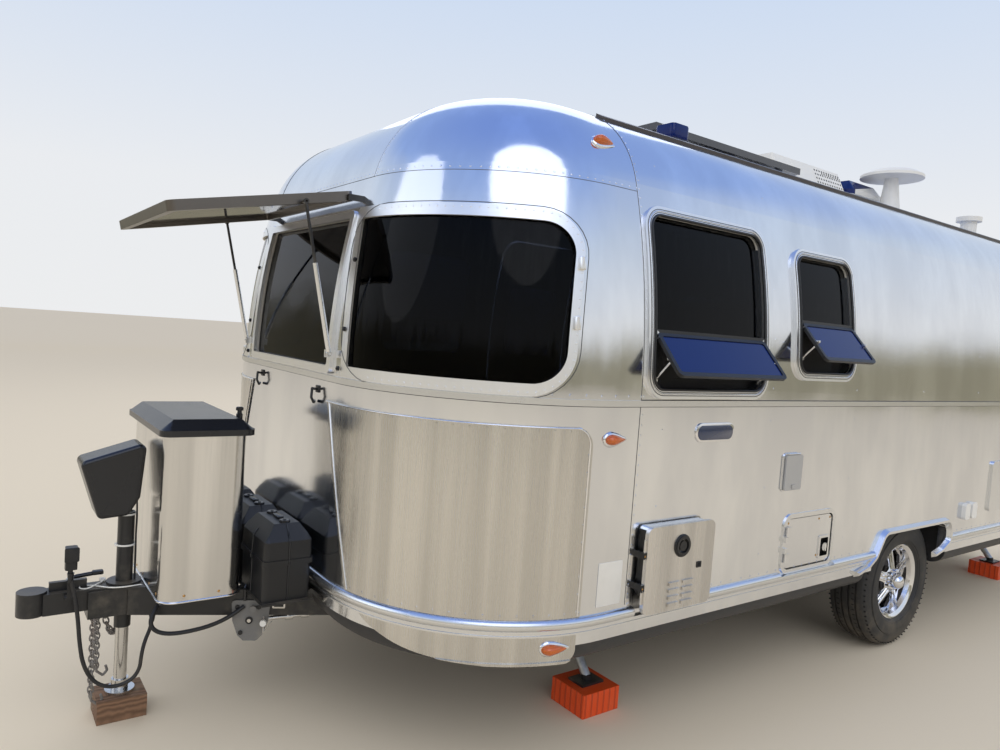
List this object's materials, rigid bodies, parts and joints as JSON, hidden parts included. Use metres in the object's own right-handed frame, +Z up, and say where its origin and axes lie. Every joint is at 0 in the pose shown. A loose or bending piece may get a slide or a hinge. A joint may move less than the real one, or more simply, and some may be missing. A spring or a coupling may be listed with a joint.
{
  "type": "travel caravan",
  "caption": "Single-axle travel caravan with a rounded riveted aluminium body, tongue, jack, window guard and opening doors.",
  "frame": {"origin": "centre of the bounding box at ground level", "axes": "+Z up, -X towards the tow coupler, -Y the road side with the hatch and the heater"},
  "size_m": [6.68, 2.6982, 2.83],
  "materials": {
    "polished_skin": "clear-coated aluminium sheet, softly mirror-like",
    "frame_aluminium": "satin extruded aluminium",
    "brushed_guard": "brushed stainless sheet",
    "dark_glass": "dark tinted glass",
    "screen_mesh": "black insect mesh",
    "black_steel": "black painted steel",
    "galvanised": "zinc-coated steel",
    "underside": "dull aluminium underside",
    "chrome_part": "bright plated steel",
    "polished_steel": "polished stainless sheet",
    "black_plastic": "textured black plastic",
    "white_plastic": "white moulded plastic",
    "warm_white_paint": "warm light grey paint",
    "amber_lens": "amber moulded lens",
    "red_lens": "red moulded lens",
    "orange_plastic": "orange moulded plastic",
    "rough_timber": "dark rough-sawn timber",
    "plywood": "light oak-faced plywood",
    "blue_fabric": "blue woven cloth",
    "awning_cloth": "grey woven cloth, rolled",
    "tread_rubber": "black rubber",
    "cable_rubber": "black cable sheath",
    "cell_glass": "dark solar cells under glass",
    "alloy": "machined cast alloy"
  },
  "bodies": {
    "trailer": {"tongue_rail_left": "black_steel", "tongue_rail_right": "black_steel", "chassis_rails": "black_steel", "belly_pan": "underside", "floor": "plywood", "axle": "black_steel", "wheel_wells": "underside", "front_end": "polished_skin", "end_domes": "polished_skin", "rear_end": "polished_skin", "wall_left": "polished_skin", "wall_right": "polished_skin", "roof": "polished_skin", "mouldings": "polished_skin", "rub_rail": "frame_aluminium", "stone_guards": "brushed_guard", "side_fittings": "frame_aluminium", "window_frames": "frame_aluminium", "side_glass": "dark_glass", "end_glass": "dark_glass", "insect_screens": "screen_mesh", "coupler": "black_steel", "tongue_fittings": "black_steel", "jack_post": "black_steel", "jack_head": "black_plastic", "jack_leg": "chrome_part", "jack_block": "rough_timber", "tow_cable": "cable_rubber", "tow_plug": "black_plastic", "gas_cover": "polished_steel", "gas_bottles": "warm_white_paint", "battery_boxes": "black_plastic", "air_conditioner": "white_plastic", "solar_panels": "cell_glass", "roof_fittings": "white_plastic", "awning_arms": "frame_aluminium", "awning_roller": "awning_cloth", "amber_lamps": "amber_lens", "red_lamps": "red_lens", "bumper": "frame_aluminium", "stabilisers": "galvanised", "stabiliser_pads": "orange_plastic", "furniture": "plywood", "cushions": "blue_fabric"},
    "wheel_left": {"tyre_left": "tread_rubber", "rim_left": "alloy"},
    "wheel_right": {"tyre_right": "tread_rubber", "rim_right": "alloy"},
    "entry_door": {"entry_door": "polished_skin", "door_glass": "dark_glass"},
    "storage_hatch": {"storage_hatch": "polished_skin"},
    "heater_door": {"heater_door": "warm_white_paint"},
    "inlet_lid": {"inlet_lid": "frame_aluminium"},
    "gas_lid": {"gas_lid": "black_plastic"},
    "window_guard": {"guard_frame": "frame_aluminium", "guard_panel": "dark_glass"},
    "strut_tubes": {"strut_tubes": "frame_aluminium"},
    "strut_rods": {"strut_rods": "black_steel"},
    "step_arms": {"step_arms": "galvanised"},
    "step_tread": {"step_tread": "frame_aluminium"}
  },
  "joints": [
    {"name": "wheel_left_spin", "type": "hinge", "parent": "trailer", "child": "wheel_left", "pos_m": [0.63, -1.0475, 0.355], "axis": [0, 1, 0], "continuous": true},
    {"name": "wheel_right_spin", "type": "hinge", "parent": "trailer", "child": "wheel_right", "pos_m": [0.63, 1.0475, 0.355], "axis": [0, 1, 0], "continuous": true},
    {"name": "entry_door_swing", "type": "hinge", "parent": "trailer", "child": "entry_door", "pos_m": [-0.556, 1.234, 1.34], "axis": [0, -0.04, 0.9992], "range_deg": [0, 110]},
    {"name": "storage_hatch_swing", "type": "hinge", "parent": "trailer", "child": "storage_hatch", "pos_m": [-0.605, -1.235, 0.72], "axis": [0, 0, -1], "range_deg": [0, 100]},
    {"name": "heater_door_swing", "type": "hinge", "parent": "trailer", "child": "heater_door", "pos_m": [-1.524, -1.256, 0.732], "axis": [0, 0, -1], "range_deg": [0, 100]},
    {"name": "inlet_lid_lift", "type": "hinge", "parent": "trailer", "child": "inlet_lid", "pos_m": [-0.6025, -1.231, 1.12], "axis": [-1, 0, 0], "range_deg": [0, 100]},
    {"name": "gas_lid_lift", "type": "hinge", "parent": "trailer", "child": "gas_lid", "pos_m": [-2.614, 0, 1.104], "axis": [0, 1, 0], "range_deg": [0, 70]},
    {"name": "window_guard_swing", "type": "hinge", "parent": "trailer", "child": "window_guard", "pos_m": [-2.373, 0, 2.006], "axis": [0, 1, 0], "range_deg": [-70.9, 0]},
    {"name": "strut_swing", "type": "hinge", "parent": "trailer", "child": "strut_tubes", "pos_m": [-2.43, 0, 1.43], "axis": [0, 1, 0], "range_deg": [0, 18.31]},
    {"name": "strut_slide", "type": "slide", "parent": "strut_tubes", "child": "strut_rods", "axis": [-0.216, 0, 0.9764], "range_m": [-0.14728, 0]},
    {"name": "step_swing", "type": "hinge", "parent": "trailer", "child": "step_arms", "pos_m": [-0.22, 1, 0.372], "axis": [1, 0, 0], "range_deg": [0, 140]},
    {"name": "step_tread_level", "type": "hinge", "parent": "step_arms", "child": "step_tread", "pos_m": [-0.22, 0.765, 0.372], "axis": [1, 0, 0], "range_deg": [-140, 0]}
  ],
  "couplings": [
    {"joint": "strut_swing", "follows": "window_guard_swing", "ratio": -0.25792},
    {"joint": "strut_slide", "follows": "window_guard_swing", "m_per_rad": 0.11894},
    {"joint": "step_tread_level", "follows": "step_swing", "ratio": -1}
  ]
}
